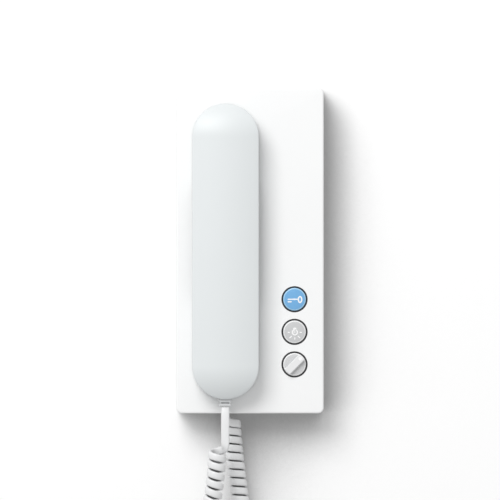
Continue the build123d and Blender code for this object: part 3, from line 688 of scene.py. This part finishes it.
def curly_cord():
    line, outer = cord_line()
    points, inner = sheath_points(line, outer)
    mesh = bpy.data.meshes.new("curly_cord")
    mesh.from_pydata(points, [], sheath_faces(len(line), len(points) // len(line)))
    mesh.attributes.new("inner_face_shade", "FLOAT", "POINT").data.foreach_set("value", inner)
    cord = add_object("curly_cord", mesh)
    select_only(cord)
    in_edit(lambda: bpy.ops.mesh.normals_make_consistent(inside=False))
    bpy.ops.object.shade_smooth_by_angle(angle=CORD_SMOOTH_ANGLE)
    mesh.materials.append(sheath_white)
    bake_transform(cord)
    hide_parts("cord_coil", "cord_tail")


curly_cord()


# Wall


def wall_material():
    """White that keeps the object's shadow, and is clear from behind and for light from the back plate."""
    material, tree, shader, _ = new_material("white_wall")
    shader.inputs["Roughness"].default_value = 0.9
    shader.inputs["Specular IOR Level"].default_value = 0.0
    open_side = tree.nodes.new("ShaderNodeCombineXYZ")
    for part, value in zip("XYZ", Vector(WALL_OPEN_SIDE).normalized()):
        open_side.inputs[part].default_value = value
    openness = tree.nodes.new("ShaderNodeAmbientOcclusion")
    openness.inputs["Distance"].default_value = WALL_OPEN_REACH
    openness.samples = WALL_OPEN_SAMPLES
    tree.links.new(open_side.outputs["Vector"], openness.inputs["Normal"])
    lit = stretched(tree, openness.outputs["AO"], WALL_SHADOW_OPEN, (WALL_SHADOW_DEPTH, 1.0))
    for target, white in (("Base Color", WALL_WHITE), ("Emission Color", 1)):
        shade = mixed_color(tree, lit, (0, 0, 0, 1), (white, white, white, 1))
        tree.links.new(shade, shader.inputs[target])
    rays = tree.nodes.new("ShaderNodeLightPath").outputs
    glow = maths(tree, "MULTIPLY", rays["Is Camera Ray"], WALL_GLOW)
    tree.links.new(glow, shader.inputs["Emission Strength"])
    started_near = maths(tree, "LESS_THAN", rays["Ray Length"], WALL_CLEAR_REACH)
    backfacing = tree.nodes.new("ShaderNodeNewGeometry").outputs["Backfacing"]
    clear_way = maths(tree, "MAXIMUM", backfacing, started_near)
    clear = tree.nodes.new("ShaderNodeBsdfTransparent").outputs["BSDF"]
    surface = mixed_shader(tree, clear_way, shader.outputs["BSDF"], clear)
    tree.links.new(surface, tree.nodes["Material Output"].inputs["Surface"])
    return material


bpy.ops.object.select_all(action="DESELECT")
bpy.ops.mesh.primitive_plane_add(size=WALL_SIZE, location=(0, WALL_GAP, 0), rotation=(math.pi / 2, 0, 0))
wall = bpy.context.object
wall.name = "wall"
wall.data.materials.append(wall_material())


# Light and camera


def white_world():
    """White all round: dimmer as a light than as what the camera, clear pieces and glossy ones show."""
    world = bpy.data.worlds.new("studio")
    bpy.context.scene.world = world
    world.use_nodes = True
    tree = world.node_tree
    light = tree.nodes["Background"]
    light.inputs["Color"].default_value = (1, 1, 1, 1)
    light.inputs["Strength"].default_value = WORLD_LIGHT
    seen = tree.nodes.new("ShaderNodeBackground")
    seen.inputs["Strength"].default_value = 1.0
    rays = tree.nodes.new("ShaderNodeLightPath").outputs
    straight = maths(tree, "MAXIMUM", rays["Is Camera Ray"], rays["Is Transmission Ray"])
    shown = maths(tree, "MAXIMUM", straight, rays["Is Glossy Ray"])
    surface = mixed_shader(tree, shown, light.outputs["Background"], seen.outputs["Background"])
    tree.links.new(surface, tree.nodes["World Output"].inputs["Surface"])


def softbox(name, direction, distance, size, power):
    """A square lamp on that side of the object, facing it."""
    lamp = bpy.data.lights.new(name, "AREA")
    lamp.shape = "SQUARE"
    lamp.size = size
    lamp.energy = power
    holder = add_object(name, lamp)
    away = Vector(direction).normalized()
    holder.location = away * distance
    holder.rotation_mode = "QUATERNION"
    holder.rotation_quaternion = away.to_track_quat("Z", "Y")


def camera():
    """A long lens straight from the front."""
    data = bpy.data.cameras.new("camera")
    data.sensor_width = SENSOR_WIDTH
    data.lens = SENSOR_WIDTH * CAMERA_DISTANCE / VIEW_ACROSS
    data.clip_end = VIEW_END
    holder = add_object("camera", data)
    across, depth, up = VIEW_MIDDLE
    holder.location = (across, depth - CAMERA_DISTANCE, up)
    holder.rotation_euler = (math.pi / 2, 0, 0)
    bpy.context.scene.camera = holder


white_world()
softbox("key_light", KEY_SIDE, KEY_DISTANCE, KEY_SIZE, KEY_POWER)
camera()

bpy.context.scene.view_settings.view_transform = "Standard"
